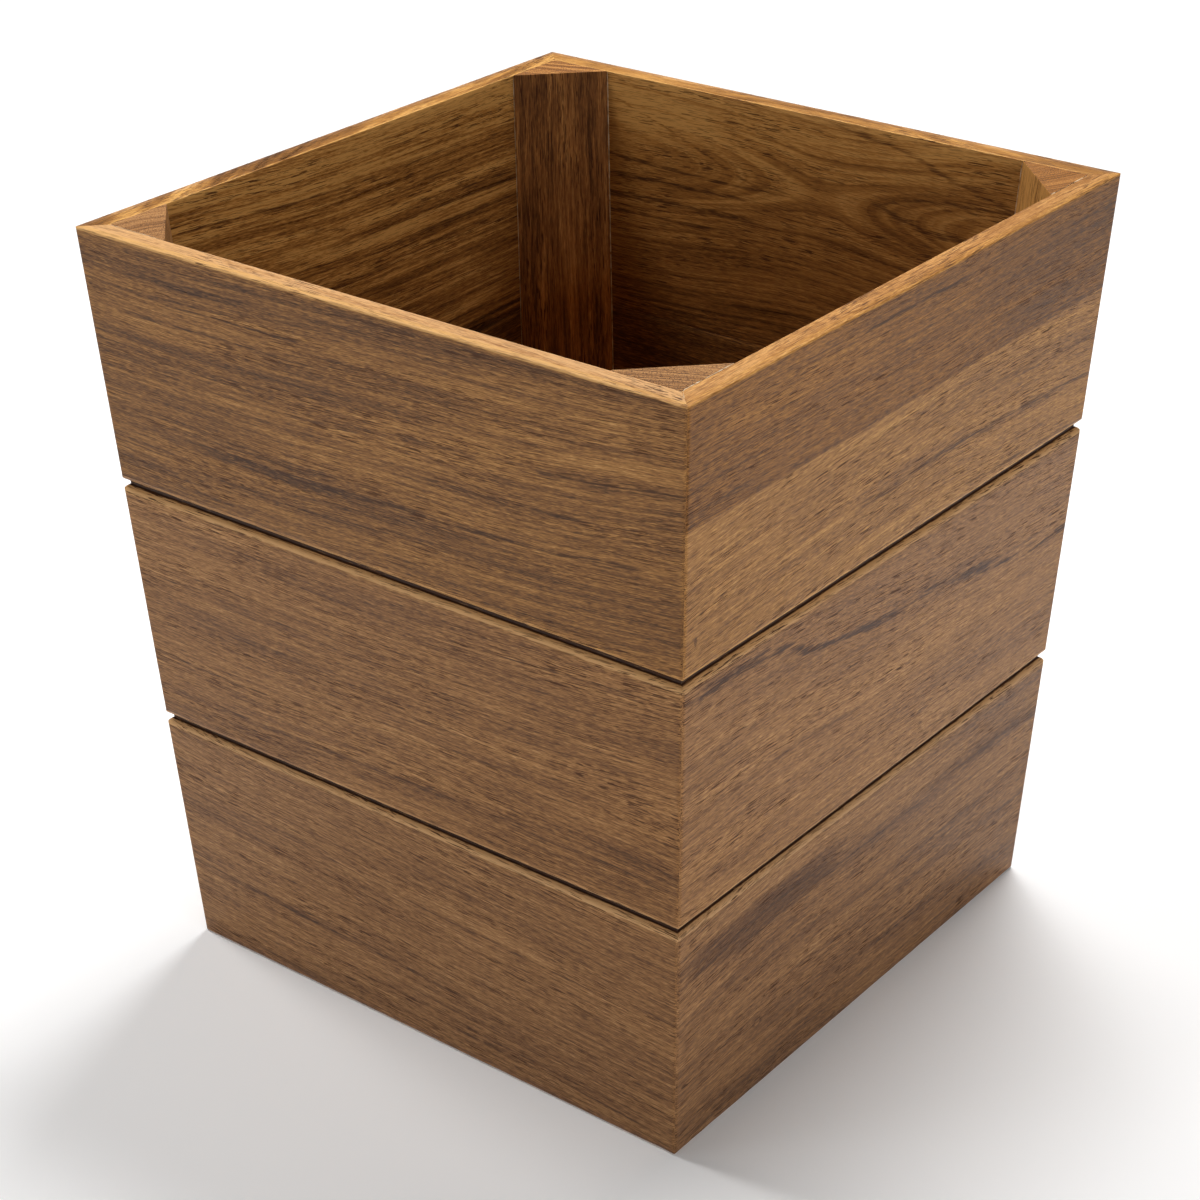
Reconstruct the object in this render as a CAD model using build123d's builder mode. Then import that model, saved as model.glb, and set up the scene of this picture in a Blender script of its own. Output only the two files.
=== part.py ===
"""Tapered square umbrella stand in solid teak, open at the top.

Three equal tiers of boards stand on each of four leaning sides, tongued and grooved
edge to edge and mitred at the corners. A triangular post is glued inside each corner.
Seven slats lie on four cleats and make the floor.

Millimetres. +Z is up, the origin is the middle of the base, -Y is the front.
"""
from build123d import *
import math
import os

# The box
rim_width = 360.0
base_width = 316.0
height = 402.0
tier_count = 3
board_thickness = 12.0
corner_round = 2.5
rim_round = 1.2
base_round = 2.0

# The rounded shadow groove and the tongue behind it, in each joint between two tiers
roundover = 4.4
reveal = 1.6
lip_depth = 3.2
tongue_thickness = 4.0
tongue_height = 6.0
tongue_end_gap = 0.5

# The corner posts, right-angled triangles with two equal legs
post_leg = 37.0

# The floor
cleat_depth = 18.0
cleat_bottom = 10.0
cleat_top = 28.0
cleat_end_gap = 1.0
slat_count = 7
slat_thickness = 10.0
slat_gap = 6.0
slat_side_gap = 2.0
slat_round = 1.0
post_gap = 1.0

# The countersunk wood screws
screw_diameter = 3.5
head_diameter = 7.0
tip_length = 3.0
recess_length = 4.0
recess_width = 0.9
recess_depth = 1.2
floor_screw_length = 20.0
cleat_screw_length = 24.0
outer_slat_screw_offset = 95.0
cleat_screw_offset = 64.0

# Worked out from the dimensions above
slope = (rim_width - base_width) / 2 / height
lean = math.degrees(math.atan(slope))
tier_rise = height / math.cos(math.radians(lean)) / tier_count
wall_thickness = board_thickness / math.cos(math.radians(lean))
past_end = 2.0

sides = {"front": 0.0, "right": 90.0, "back": 180.0, "left": 270.0}
corners = {"front_left": 0.0, "front_right": 90.0, "back_right": 180.0, "back_left": 270.0}
tiers = ["bottom", "middle", "top"]


def inner_half_width(z):
    """Half the clear width between opposite walls at a height."""
    return base_width / 2 - wall_thickness + slope * z


floor_half_width = inner_half_width(cleat_top)
slat_span = 2 * (floor_half_width - slat_side_gap)
slat_width = (slat_span - (slat_count - 1) * slat_gap) / slat_count
slat_pitch = slat_width + slat_gap
slat_length = slat_span
cleat_middle = floor_half_width - cleat_depth / 2
cleat_half_length = inner_half_width(cleat_bottom) - post_leg - cleat_end_gap
floor_top = cleat_top + slat_thickness


def turned(x, y, angle):
    """A point of the front side's plan, turned about the vertical axis to another side."""
    point = Vector(x, y, 0).rotate(Axis.Z, angle)
    return point.X, point.Y


def write(piece, name):
    """Label a finished piece and write its file."""
    piece.part.label = name
    export_step(piece.part, f"parts/{name}.step")


os.makedirs("parts", exist_ok=True)

# The outside of the whole box, which trims every board to its taper and rounded arrises
with BuildPart() as outside:
    with BuildSketch(Plane.XY):
        Rectangle(base_width, base_width)
    extrude(amount=height, taper=-lean)
    fillet(outside.edges().filter_by(Plane.XY, reverse=True), radius=corner_round)
    fillet(outside.faces().sort_by(Axis.Z)[-1].edges(), radius=rim_round)
    fillet(outside.faces().sort_by(Axis.Z)[0].edges(), radius=base_round)


def make_screw_pair(length):
    """A countersunk screw pointing down from the origin, and the seat that it cuts."""
    head_height = (head_diameter - screw_diameter) / 2
    with BuildPart() as seat:
        with BuildSketch(Plane.XZ):
            with BuildLine():
                Polyline(
                    (0, 0),
                    (head_diameter / 2, 0),
                    (screw_diameter / 2, -head_height),
                    (screw_diameter / 2, tip_length - length),
                    (0, -length),
                    close=True,
                )
            make_face()
        revolve(axis=Axis.Z)
    with BuildPart() as screw:
        add(seat.part)
        with BuildSketch(Plane.XY):
            with Locations(Rotation(0, 0, 0), Rotation(0, 0, 90)):
                Rectangle(recess_length, recess_width)
        extrude(amount=-recess_depth, mode=Mode.SUBTRACT)
    return screw, seat


def make_group(piece, places):
    """Copies of one screw or seat as separate solids."""
    with BuildPart() as group:
        with Locations(*places):
            add(piece.part)
    return group


def find_floor_screw_places():
    """One screw in each end of the inner slats, and two in each outer slat."""
    places = []
    inner_rows = range(1, slat_count - 1)
    for end in (-1, 1):
        for row in inner_rows:
            along = (row - (slat_count - 1) / 2) * slat_pitch
            places.append(Location((end * cleat_middle, along, floor_top)))
        for half in (-1, 1):
            places.append(Location((half * outer_slat_screw_offset, end * cleat_middle, floor_top)))
    return places


def find_cleat_screw_places():
    """Two screws from inside through each cleat into the bottom board behind it."""
    places = []
    inner_face = floor_half_width - cleat_depth
    middle_height = (cleat_bottom + cleat_top) / 2
    for angle in sides.values():
        for half in (-1, 1):
            x, y = turned(half * cleat_screw_offset, -inner_face, angle)
            inward = Vector(0, 1, 0).rotate(Axis.Z, angle)
            places.append(Plane(origin=(x, y, middle_height), z_dir=inward).location)
    return places


floor_screw, floor_seat = make_screw_pair(floor_screw_length)
cleat_screw, cleat_seat = make_screw_pair(cleat_screw_length)
floor_seats = make_group(floor_seat, find_floor_screw_places())
cleat_seats = make_group(cleat_seat, find_cleat_screw_places())
write(make_group(floor_screw, find_floor_screw_places()), "floor_screws")
write(make_group(cleat_screw, find_cleat_screw_places()), "cleat_screws")


def make_board(angle, tier):
    """One wall board, drawn in section on its side's leaning face: x is the depth, y the rise."""
    lean_angle = math.radians(lean)
    x, y = turned(0, -base_width / 2, angle)
    inward = Vector(0, math.cos(lean_angle), math.sin(lean_angle)).rotate(Axis.Z, angle)
    along = Vector(1, 0, 0).rotate(Axis.Z, angle)
    section_plane = Plane(origin=(x, y, 0), x_dir=inward, z_dir=along)

    is_lowest = tier == 0
    is_highest = tier == tier_count - 1
    low = tier * tier_rise
    high = low + tier_rise
    lip_low = low - past_end if is_lowest else low + reveal / 2
    lip_high = high + past_end if is_highest else high - reveal / 2
    shoulder_low = lip_low if is_lowest else low
    shoulder_high = lip_high if is_highest else high
    tongue_back = lip_depth + tongue_thickness

    with BuildPart() as board:
        with BuildSketch(section_plane) as section:
            with Locations((0, lip_low)):
                Rectangle(board_thickness, lip_high - lip_low, align=Align.MIN)
            lip_corners = section.vertices().group_by(Axis.X)[0].sort_by(Axis.Y)
            if not is_lowest:
                fillet(lip_corners[0], radius=roundover)
            if not is_highest:
                fillet(lip_corners[-1], radius=roundover)
            with Locations((tongue_back, shoulder_low)):
                Rectangle(
                    board_thickness - tongue_back, shoulder_high - shoulder_low, align=Align.MIN
                )
            if not is_highest:
                with Locations((lip_depth, high - roundover)):
                    Rectangle(tongue_thickness, roundover + tongue_height, align=Align.MIN)
            if not is_lowest:
                with Locations((lip_depth, low)):
                    Rectangle(
                        tongue_thickness,
                        tongue_height + tongue_end_gap,
                        align=Align.MIN,
                        mode=Mode.SUBTRACT,
                    )
        extrude(amount=rim_width / 2, both=True)
        with BuildSketch(Plane.XY.rotated((0, 0, angle)).offset(-past_end)):
            with BuildLine():
                Polyline((0, 0), (-rim_width, -rim_width), (rim_width, -rim_width), close=True)
            make_face()
        extrude(amount=height + 2 * past_end, mode=Mode.INTERSECT)
        add(outside.part, mode=Mode.INTERSECT)
        if is_lowest:
            add(cleat_seats.part, mode=Mode.SUBTRACT)
    return board


for tier, tier_name in enumerate(tiers):
    for side_name, angle in sides.items():
        write(make_board(angle, tier), f"{tier_name}_board_{side_name}")


def make_post(angle):
    """One corner post, which follows the leaning corner from the base to the rim."""
    corner = inner_half_width(0)
    rise = Vector(-slope, -slope, 1).rotate(Axis.Z, angle)
    with BuildPart() as post:
        with BuildSketch(Plane.XY.rotated((0, 0, angle))):
            with BuildLine():
                Polyline(
                    (-corner, -corner),
                    (post_leg - corner, -corner),
                    (-corner, post_leg - corner),
                    close=True,
                )
            make_face()
        extrude(amount=height * rise.length, dir=rise)
    return post


for corner_name, angle in corners.items():
    write(make_post(angle), f"corner_post_{corner_name}")


def make_cleat(angle):
    """One floor cleat: its outer face leans with the wall, its inner face is upright."""
    inner_face = floor_half_width - cleat_depth
    section_plane = Plane(
        origin=(0, 0, 0),
        x_dir=Vector(0, 1, 0).rotate(Axis.Z, angle),
        z_dir=Vector(1, 0, 0).rotate(Axis.Z, angle),
    )
    with BuildPart() as cleat:
        with BuildSketch(section_plane):
            with BuildLine():
                Polyline(
                    (-inner_half_width(cleat_bottom), cleat_bottom),
                    (-inner_face, cleat_bottom),
                    (-inner_face, cleat_top),
                    (-inner_half_width(cleat_top), cleat_top),
                    close=True,
                )
            make_face()
        extrude(amount=cleat_half_length, both=True)
        add(cleat_seats.part, mode=Mode.SUBTRACT)
        add(floor_seats.part, mode=Mode.SUBTRACT)
    return cleat


for side_name, angle in sides.items():
    write(make_cleat(angle), f"floor_cleat_{side_name}")


def make_slat(row):
    """One floor slat with eased upper arrises, clipped where it would meet a corner post."""
    across = (row - (slat_count - 1) / 2) * slat_pitch
    diagonal = 2 * floor_half_width - post_leg - post_gap * math.sqrt(2)
    with BuildPart() as slat:
        with BuildSketch(Plane.XY.offset(cleat_top)):
            with Locations((0, across)):
                Rectangle(slat_length, slat_width)
            with BuildLine():
                Polyline((diagonal, 0), (0, diagonal), (-diagonal, 0), (0, -diagonal), close=True)
            make_face(mode=Mode.INTERSECT)
        extrude(amount=slat_thickness)
        fillet(slat.faces().sort_by(Axis.Z)[-1].edges(), radius=slat_round)
        add(floor_seats.part, mode=Mode.SUBTRACT)
    return slat


for row in range(slat_count):
    write(make_slat(row), f"floor_slat_{row + 1}")
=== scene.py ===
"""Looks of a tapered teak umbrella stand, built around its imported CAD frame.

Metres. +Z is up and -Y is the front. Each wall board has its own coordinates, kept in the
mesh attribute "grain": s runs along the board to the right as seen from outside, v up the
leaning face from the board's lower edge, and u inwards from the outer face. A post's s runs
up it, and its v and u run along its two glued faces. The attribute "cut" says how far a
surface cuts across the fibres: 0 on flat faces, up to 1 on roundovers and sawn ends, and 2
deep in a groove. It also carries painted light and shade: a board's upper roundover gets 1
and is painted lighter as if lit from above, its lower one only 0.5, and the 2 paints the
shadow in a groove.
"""

import math

import bpy
from mathutils import Matrix, Vector, noise


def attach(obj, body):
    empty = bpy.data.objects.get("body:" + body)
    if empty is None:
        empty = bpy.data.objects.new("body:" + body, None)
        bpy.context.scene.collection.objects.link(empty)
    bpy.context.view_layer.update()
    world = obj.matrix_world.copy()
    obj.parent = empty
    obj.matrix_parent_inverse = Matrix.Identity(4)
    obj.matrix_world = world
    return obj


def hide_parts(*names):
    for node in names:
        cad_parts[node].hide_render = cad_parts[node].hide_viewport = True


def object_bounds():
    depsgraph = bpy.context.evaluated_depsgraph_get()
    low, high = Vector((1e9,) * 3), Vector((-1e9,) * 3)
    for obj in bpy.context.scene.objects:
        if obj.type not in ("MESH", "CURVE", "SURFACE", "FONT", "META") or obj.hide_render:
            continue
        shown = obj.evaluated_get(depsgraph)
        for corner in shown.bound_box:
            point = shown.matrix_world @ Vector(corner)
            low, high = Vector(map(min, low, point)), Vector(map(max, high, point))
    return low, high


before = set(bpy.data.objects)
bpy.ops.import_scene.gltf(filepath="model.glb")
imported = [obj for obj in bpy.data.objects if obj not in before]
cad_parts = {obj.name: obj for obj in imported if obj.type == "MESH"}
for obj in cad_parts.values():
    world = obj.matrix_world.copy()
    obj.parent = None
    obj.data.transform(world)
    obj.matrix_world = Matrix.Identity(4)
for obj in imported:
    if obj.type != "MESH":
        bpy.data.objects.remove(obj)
cad_low, cad_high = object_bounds()

MM = 0.001

# The same driving sizes as the CAD model
BASE_HALF = 158 * MM
RIM_HALF = 180 * MM
HEIGHT = cad_high.z
STOCK = 12 * MM
TIERS = ("bottom", "middle", "top")
SIDES = {"front": 0.0, "right": 90.0, "back": 180.0, "left": 270.0}
CORNERS = {"front_left": 0.0, "front_right": 90.0, "back_right": 180.0, "back_left": 270.0}
ROUNDOVER = 4.4 * MM
REVEAL = 1.6 * MM
LIP = 3.2 * MM
TONGUE = 4.0 * MM
TONGUE_RISE = 6.0 * MM
TONGUE_GAP = 0.5 * MM
BASE_ROUND = 2.0 * MM
POST_LEG = 37 * MM

# What the meshes add: a rim a little sharper than the CAD's, hairline gaps and eased arrises
RIM_ROUND = 0.9 * MM
UPPER_EASE = 0.5 * MM
INNER_EASE = 0.3 * MM
MITRE_GAP = 0.05 * MM
TOP_CLEARANCE = 0.03 * MM
BASE_CLEARANCE = 0.05 * MM
FACE_CLEARANCE = 0.02 * MM
POST_EASE = 0.35 * MM

LEAN = math.atan((RIM_HALF - BASE_HALF) / HEIGHT)
SLOPE = math.tan(LEAN)
TIER_RISE = HEIGHT / math.cos(LEAN) / len(TIERS)
WALL = STOCK / math.cos(LEAN)


# ---------------------------------------------------------------------------
# Camera, light and floor
# ---------------------------------------------------------------------------

WHITE = (1, 1, 1, 1)

# Degrees; the camera stands ahead of the box and to its right, above its rim
CAMERA_PLACE = Vector((0.7745, -0.9911, 0.8380))
CAMERA_AZIMUTH = 38.295
CAMERA_ELEVATION = 27.457
CAMERA_ROLL = 0.69
SENSOR_WIDTH = 36
LENS = 82.04

LIGHT_TARGET = Vector((0, 0, 0.3))
LIGHTS = (                       # (name, place, size, power)
    ("above_behind", (-0.2, 0.9, 2.3), (1.0, 0.8), 54),
    ("above_left", (-1.3, -0.3, 2.2), (0.6, 0.6), 28),
    ("low_right", (1.85, -0.65, 0.85), (0.6, 0.5), 7.5),
    ("low_front", (-1.2, -1.8, 0.85), (0.6, 0.5), 3.5),
)
SKY_LIGHT = 0.03
HORIZON_LIGHT = 0.85
HORIZON_BAND = (0.05, 0.15)      # sine of the elevation where the pale band fades out
FLOOR_SIZE = 12
FLOOR_SHADE = (0.95, 0.95, 0.95, 1)
FLOOR_GLOW = 0.12                # near the box, rising to the horizon's light far away
FLOOR_NEAR, FLOOR_FAR = 1.4, 2.8


def make_camera():
    """Looks down on the front and right sides, with the box filling the frame."""
    data = bpy.data.cameras.new("camera")
    data.sensor_width = SENSOR_WIDTH
    data.lens = LENS
    camera = bpy.data.objects.new("camera", data)
    bpy.context.scene.collection.objects.link(camera)
    facing = Matrix.Rotation(math.radians(CAMERA_AZIMUTH), 4, "Z")
    tilt = Matrix.Rotation(math.radians(90 - CAMERA_ELEVATION), 4, "X")
    roll = Matrix.Rotation(math.radians(-CAMERA_ROLL), 4, "Z")
    camera.matrix_world = Matrix.Translation(CAMERA_PLACE) @ facing @ tilt @ roll
    bpy.context.scene.camera = camera


def add_area_light(name, place, size, power):
    """A white softbox that faces the box."""
    data = bpy.data.lights.new(name, "AREA")
    data.shape = "RECTANGLE"
    data.size, data.size_y = size
    data.energy = power
    light = bpy.data.objects.new(name, data)
    light.location = place
    away = Vector(place) - LIGHT_TARGET
    light.rotation_euler = away.to_track_quat("Z", "Y").to_euler()
    bpy.context.scene.collection.objects.link(light)


def add_map_range(tree, source, result):
    """A smooth Map Range node from one range of values to another."""
    made = tree.nodes.new("ShaderNodeMapRange")
    made.interpolation_type = "SMOOTHSTEP"
    made.inputs["From Min"].default_value, made.inputs["From Max"].default_value = source
    made.inputs["To Min"].default_value, made.inputs["To Max"].default_value = result
    return made


def light_pale_horizon(tree):
    """A dim sky with a pale band low down, so that the room is pale from every side."""
    background = tree.nodes["Background"]
    background.inputs["Color"].default_value = WHITE
    place = tree.nodes.new("ShaderNodeTexCoord")
    split = tree.nodes.new("ShaderNodeSeparateXYZ")
    band = add_map_range(tree, HORIZON_BAND, (HORIZON_LIGHT, SKY_LIGHT))
    tree.links.new(place.outputs["Generated"], split.inputs[0])
    tree.links.new(split.outputs["Z"], band.inputs["Value"])
    tree.links.new(band.outputs["Result"], background.inputs["Strength"])


def floor_paint():
    """Matt white, with a glow that rises away from the box to meet the pale horizon."""
    material = bpy.data.materials.new("studio_floor")
    material.use_nodes = True
    tree = material.node_tree
    shader = tree.nodes["Principled BSDF"]
    shader.inputs["Base Color"].default_value = FLOOR_SHADE
    shader.inputs["Roughness"].default_value = 0.9
    shader.inputs["Emission Color"].default_value = WHITE
    place = tree.nodes.new("ShaderNodeTexCoord")
    far = tree.nodes.new("ShaderNodeVectorMath")
    far.operation = "LENGTH"
    glow = add_map_range(tree, (FLOOR_NEAR, FLOOR_FAR), (FLOOR_GLOW, HORIZON_LIGHT))
    tree.links.new(place.outputs["Object"], far.inputs[0])
    tree.links.new(far.outputs["Value"], glow.inputs["Value"])
    tree.links.new(glow.outputs["Result"], shader.inputs["Emission Strength"])
    return material


def make_studio():
    """A pale floor, soft light from above and behind, and weak fill from two sides."""
    scene = bpy.context.scene
    scene.view_settings.view_transform = "Standard"
    world = bpy.data.worlds.new("studio")
    scene.world = world
    world.use_nodes = True
    light_pale_horizon(world.node_tree)
    for light in LIGHTS:
        add_area_light(*light)

    bpy.ops.mesh.primitive_grid_add(x_subdivisions=8, y_subdivisions=8, size=FLOOR_SIZE)
    floor = bpy.context.object
    floor.name = "studio_floor"
    floor.data.materials.append(floor_paint())


# ---------------------------------------------------------------------------
# Node graphs
# ---------------------------------------------------------------------------

class Graph:
    """Short calls for building one material's node tree; most return an output socket."""

    def __init__(self, name):
        self.material = bpy.data.materials.new(name)
        self.material.use_nodes = True
        self.tree = self.material.node_tree
        self.shader = self.tree.nodes["Principled BSDF"]

    def node(self, kind, **settings):
        """A shader node by the end of its type's name, with its settings."""
        made = self.tree.nodes.new("ShaderNode" + kind)
        for key, value in settings.items():
            setattr(made, key, value)
        return made

    def feed(self, socket, value):
        """Links an output socket to an input, or sets the input to a plain value."""
        if isinstance(value, bpy.types.NodeSocket):
            self.tree.links.new(value, socket)
        else:
            socket.default_value = value

    def math(self, operation, *values, clamp=False):
        made = self.node("Math", operation=operation, use_clamp=clamp)
        for socket, value in zip(made.inputs, values):
            self.feed(socket, value)
        return made.outputs[0]

    def add(self, *values):
        total = values[0]
        for value in values[1:]:
            total = self.math("ADD", total, value)
        return total

    def scale(self, value, factor, offset=0.0):
        """The value times a factor, plus an offset."""
        return self.math("MULTIPLY_ADD", value, factor, offset)

    def times(self, *values):
        product = values[0]
        for value in values[1:]:
            product = self.math("MULTIPLY", product, value)
        return product

    def vector(self, x, y, z):
        made = self.node("CombineXYZ")
        for socket, value in zip(made.inputs, (x, y, z)):
            self.feed(socket, value)
        return made.outputs[0]

    def split(self, vector):
        made = self.node("SeparateXYZ")
        self.feed(made.inputs[0], vector)
        return made.outputs

    def noise(self, vector, detail=2.0, roughness=0.5):
        """Smooth noise with features about 1 unit across, mostly between a third and two thirds."""
        made = self.node("TexNoise")
        self.feed(made.inputs["Vector"], vector)
        made.inputs["Scale"].default_value = 1.0
        made.inputs["Detail"].default_value = detail
        made.inputs["Roughness"].default_value = roughness
        return made.outputs["Fac"]

    def swing(self, amount, vector, detail=2.0, roughness=0.5):
        """Noise about zero, mostly between -amount and amount."""
        return self.scale(self.noise(vector, detail, roughness), 6 * amount, -3 * amount)

    def step(self, value, low, high):
        """0 below low, 1 above high, smooth between; low may be above high."""
        if low > high:
            return self.math("SUBTRACT", 1.0, self.step(value, high, low))
        made = self.node("MapRange", interpolation_type="SMOOTHSTEP")
        self.feed(made.inputs["Value"], value)
        made.inputs["From Min"].default_value = low
        made.inputs["From Max"].default_value = high
        return made.outputs["Result"]

    def curve(self, value, points, low, high):
        """A smooth path through points of (value, result), as a Float Curve from low to high."""
        start, end = points[0][0], points[-1][0]
        placed = self.math("DIVIDE", self.math("SUBTRACT", value, start), end - start, clamp=True)
        made = self.node("FloatCurve")
        self.feed(made.inputs["Value"], placed)
        line = made.mapping.curves[0]
        for _ in range(len(points) - 2):
            line.points.new(0.5, 0.5)
        for point, (at, result) in zip(line.points, points):
            point.location = ((at - start) / (end - start), (result - low) / (high - low))
        made.mapping.update()
        return self.scale(made.outputs[0], high - low, low)

    def ramp(self, factor, stops):
        """A colour from stops of (position, colour)."""
        made = self.node("ValToRGB")
        elements = made.color_ramp.elements
        while len(elements) < len(stops):
            elements.new(0.5)
        for element, (at, colour) in zip(elements, stops):
            element.position = at
            element.color = (*colour, 1)
        self.feed(made.inputs[0], factor)
        return made.outputs[0]

    def blend(self, factor, a, b, kind="MIX"):
        """Colour a where the factor is 0, going over to b where it is 1."""
        made = self.node("Mix", data_type="RGBA", blend_type=kind)
        self.feed(made.inputs["Factor"], factor)
        self.feed(made.inputs["A"], a)
        self.feed(made.inputs["B"], b)
        return made.outputs["Result"]

    def bump(self, height, strength, distance):
        made = self.node("Bump")
        self.feed(made.inputs["Height"], height)
        made.inputs["Strength"].default_value = strength
        made.inputs["Distance"].default_value = distance
        return made.outputs["Normal"]

    def object_noise(self, scale, detail):
        """Noise straight from the stand's frame, with a scale in features per metre."""
        spread = self.node("VectorMath", operation="SCALE")
        self.feed(spread.inputs[0], self.node("TexCoord").outputs["Object"])
        spread.inputs["Scale"].default_value = scale
        return self.noise(spread.outputs[0], detail)


# ---------------------------------------------------------------------------
# Teak
# ---------------------------------------------------------------------------

TEAK = (                         # (tone, colour), from the darkest wood to the palest
    (0.00, (0.042, 0.019, 0.011)),
    (0.25, (0.125, 0.056, 0.024)),
    (0.50, (0.262, 0.121, 0.045)),
    (0.75, (0.425, 0.212, 0.080)),
    (1.00, (0.620, 0.355, 0.155)),
)
VEIN = (0.072, 0.034, 0.020, 1)
PORE = (0.070, 0.026, 0.011, 1)
FLECK = (0.62, 0.32, 0.12, 1)
SEED_STEP = 7.31                 # how far apart in the noise two figures with seeds 1 apart lie
OTHER_STAVE = 57.3               # how far a second stave's fibres lie from the first one's
VEIN_FADE = 15                   # half the length over which a vein's end fades
VEIN_TONE = -0.45                # change of tone where a vein is darkest
VEIN_COVER = 0.9                 # how much of the wood's own colour it hides there
GROOVE_SHADE_TONE = -1.6               # painted shadow: change of tone deep in a groove

# Millimetres from a board's outer face and lower edge
BEHIND_FACE = (3.4, 4.4)         # depth at which the outer face's shade gives way
INNER_FACE = (11.0, 11.9)
TOP_EDGE = (132.9, 133.4)        # height on a top board

# Millimetres. The strengths of streaks are changes of tone along the ramp. A vein's or a
# patch's darkness is 0 for none and about 1 for the darkest, and below 0 it is paler.
PLAIN_FIGURE = {
    "tone": 0.55,                    # middle of the colour ramp
    "tint": (1.0, 1.0, 0.95),        # shade of the outer face, and of the wood behind it
    "inside_tint": (1.0, 0.92, 0.58),
    "pith": -110,                    # height of the tree's pith on the face
    "depth": ((-180, 60), (180, 60)),   # the pith's depth behind the face, along the board
    "ring": 3.2,                     # growth ring spacing
    "bands": 0.07,                   # streaks' strengths, from broad ones to single fibres
    "streaks": 0.13,
    "fine": 0.12,
    "fibres": 0.07,
    "grit": 0.15,
    "late": 0.06,                    # dark line at each ring's end
    "cut_and_highlight_tone": 0.58,                # change of tone where the fibres are cut across; on a board's up-facing roundover it is a painted highlight
    "pores": 0.90,
    "flecks": 0.35,
    "flow": ((-180, 0), (180, 0)),   # how the fibres rise and fall along the board
    "flow_range": (-10, 0, 134, 144),
    "wander": 2.0,                   # slow random rise and fall of the fibres
    "veins": (),                     # (height, half width, darkness, from, to)
    "paths": (),                     # veins off the fibres' line: (points, half width, darkness)
    "patches": (),                   # (s, v, half length, half height, darkness)
    "seam": 0,                       # height of a glue seam between two staves, and the upper
    "upper_tone": 0.0,               # stave's change of tone and its own outer shade
    "upper_tint": (1.0, 1.0, 0.95),
    "rim": (0.0, 0.0),               # change of tone on a top edge, at its outside and inside: paler wood with a painted highlight
    "inside": (0.0, 0.0),            # painted light and shade on the inner face, at its foot and its top
    "seed": 0,
}


def mesh_coordinates(g):
    """A piece's own (s, v, u), in metres."""
    attribute = g.node("Attribute", attribute_name="grain")
    return g.split(attribute.outputs["Vector"])


def fibre_height(g, figure, s, v, u):
    """The fibres' own height q: the board's height with its bends taken out."""
    seed = figure["seed"] * SEED_STEP
    low_out, low_in, high_in, high_out = figure["flow_range"]
    weight = g.times(g.step(v, low_out, low_in), g.step(v, high_out, high_in))
    bend = g.times(g.curve(s, figure["flow"], -60, 60), weight)
    wander = g.vector(g.scale(s, 0.0045, seed), g.scale(v, 0.010), g.scale(u, 0.010))
    ripple = g.vector(g.scale(s, 0.014, seed), g.scale(v, 0.05), g.scale(u, 0.05))
    return g.add(
        g.math("SUBTRACT", v, bend),
        g.swing(figure["wander"], wander, 1.0),
        g.swing(0.25, ripple),
    )


def streaks_and_rings(g, figure, s, q, u, cut):
    """Change of tone from growth rings and streaks, and the place within each ring."""
    seed = figure["seed"] * SEED_STEP
    # Distance from the pith, counted in rings; every noise below is stretched along s
    depth = g.add(u, g.curve(s, figure["depth"], -80, 120))
    across = g.math("SUBTRACT", q, figure["pith"])
    radius = g.math("SQRT", g.add(g.times(across, across), g.times(depth, depth)))
    ring = g.scale(radius, 1 / figure["ring"])
    broad = g.vector(g.scale(ring, 0.20), g.scale(s, 0.004, seed), seed)
    streak = g.noise(g.vector(g.scale(ring, 1.0), g.scale(s, 0.009, seed), seed + 1), 2.0, 0.6)
    fine = g.vector(g.scale(radius, 1.0), g.scale(s, 0.016, seed), seed + 2)
    fibre = g.vector(g.scale(q, 2.0), g.scale(s, 0.06, seed), g.scale(u, 2.0))
    grit = g.vector(g.scale(q, 2.1), g.scale(s, 0.22, seed), g.scale(u, 2.1))
    phase = g.math("FRACT", g.add(ring, g.scale(streak, 1.2)))
    late = g.times(g.step(phase, 0.50, 0.93), g.step(phase, 1.0, 0.94), g.scale(cut, 1.0, 1.0))
    change = g.add(
        g.swing(figure["bands"], broad, 1.0),
        g.scale(streak, 6 * figure["streaks"], -3 * figure["streaks"]),
        g.swing(figure["fine"], fine, 3.0, 0.6),
        g.swing(figure["fibres"], fibre, 1.0, 0.6),
        g.swing(figure["grit"], grit, 1.0, 0.7),
        g.scale(late, -figure["late"]),
    )
    return change, phase


def vein_shape(g, s, offset, half_width, start, end):
    """1 on a vein's line, fading out to its half width and at its ends."""
    body = g.step(g.math("ABSOLUTE", offset), half_width, 0.2 * half_width)
    from_start = g.step(s, start - VEIN_FADE, start + VEIN_FADE)
    from_end = g.step(s, end + VEIN_FADE, end - VEIN_FADE)
    return g.times(body, g.times(from_start, from_end))


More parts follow.
